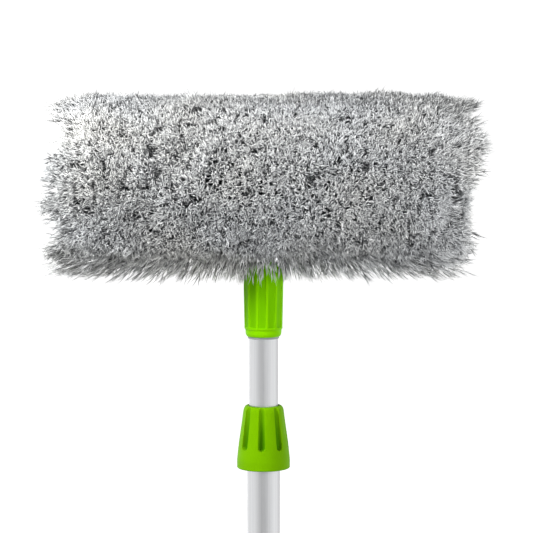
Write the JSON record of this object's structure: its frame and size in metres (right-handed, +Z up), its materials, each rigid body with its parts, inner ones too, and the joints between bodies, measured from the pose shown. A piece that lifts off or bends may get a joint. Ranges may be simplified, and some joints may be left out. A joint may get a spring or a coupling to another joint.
{
  "type": "feather duster",
  "caption": "T-shaped duster: a cylindrical head of soft split-tip bristles on a telescopic aluminium pole with a twist-lock nut.",
  "frame": {"origin": "centre of the end cap's flat bottom face, at the lower end of the pole", "axes": "+Z up the pole, +X along the brush head to the right, -Y to the front"},
  "size_m": [0.314, 0.1396, 0.6998],
  "materials": {
    "green_plastic": "satin moulded lime green",
    "aluminium": "satin anodised tube",
    "bristle": "soft grey split-tip fibres",
    "grey_plastic": "matte mid grey",
    "core_plastic": "matte light grey",
    "grip_rubber": "soft matte charcoal",
    "steel": "zinc plated"
  },
  "bodies": {
    "handle": {"end_cap": "green_plastic", "hand_grip": "grip_rubber", "outer_tube": "aluminium", "lock_ferrule": "grey_plastic", "ferrule_pin_left": "steel", "ferrule_pin_right": "steel", "split_collet": "grey_plastic"},
    "lock_nut": {"lock_nut": "green_plastic"},
    "pole": {"inner_tube": "aluminium", "guide_bush": "grey_plastic", "bush_pin": "steel", "pole_tip": "grey_plastic", "tip_pin": "steel"},
    "head_thread": {"thread_insert": "grey_plastic"},
    "brush_head": {"neck_socket": "green_plastic", "neck_screw": "steel", "brush_core": "core_plastic", "core_plug_left": "core_plastic", "core_plug_right": "core_plastic", "bristle_row_01": "bristle", "bristle_row_02": "bristle", "bristle_row_03": "bristle", "bristle_row_04": "bristle", "bristle_row_05": "bristle", "bristle_row_06": "bristle", "bristle_row_07": "bristle", "bristle_row_08": "bristle", "bristle_row_09": "bristle", "bristle_row_10": "bristle", "bristle_row_11": "bristle", "bristle_row_12_left": "bristle", "bristle_row_12_right": "bristle", "bristle_row_13_left": "bristle", "bristle_row_13_right": "bristle", "bristle_row_14": "bristle", "bristle_row_15": "bristle", "bristle_row_16": "bristle", "bristle_end_left": "bristle", "bristle_end_right": "bristle"}
  },
  "joints": [
    {"name": "telescope", "type": "slide", "parent": "handle", "child": "pole", "axis": [0, 0, 1], "range_m": [-0.05, 0.275]},
    {"name": "lock_nut_turn", "type": "hinge", "parent": "handle", "child": "lock_nut", "pos_m": [0, 0, 0.439], "axis": [0, 0, 1], "range_deg": [0, 120]},
    {"name": "head_rise", "type": "slide", "parent": "pole", "child": "head_thread", "axis": [0, 0, 1], "range_m": [0, 0.02033]},
    {"name": "head_turn", "type": "hinge", "parent": "head_thread", "child": "brush_head", "pos_m": [0, 0, 0.576], "axis": [0, 0, 1], "range_deg": [0, 1440]}
  ],
  "couplings": [
    {"joint": "head_rise", "follows": "head_turn", "m_per_rad": 0.00080851}
  ]
}
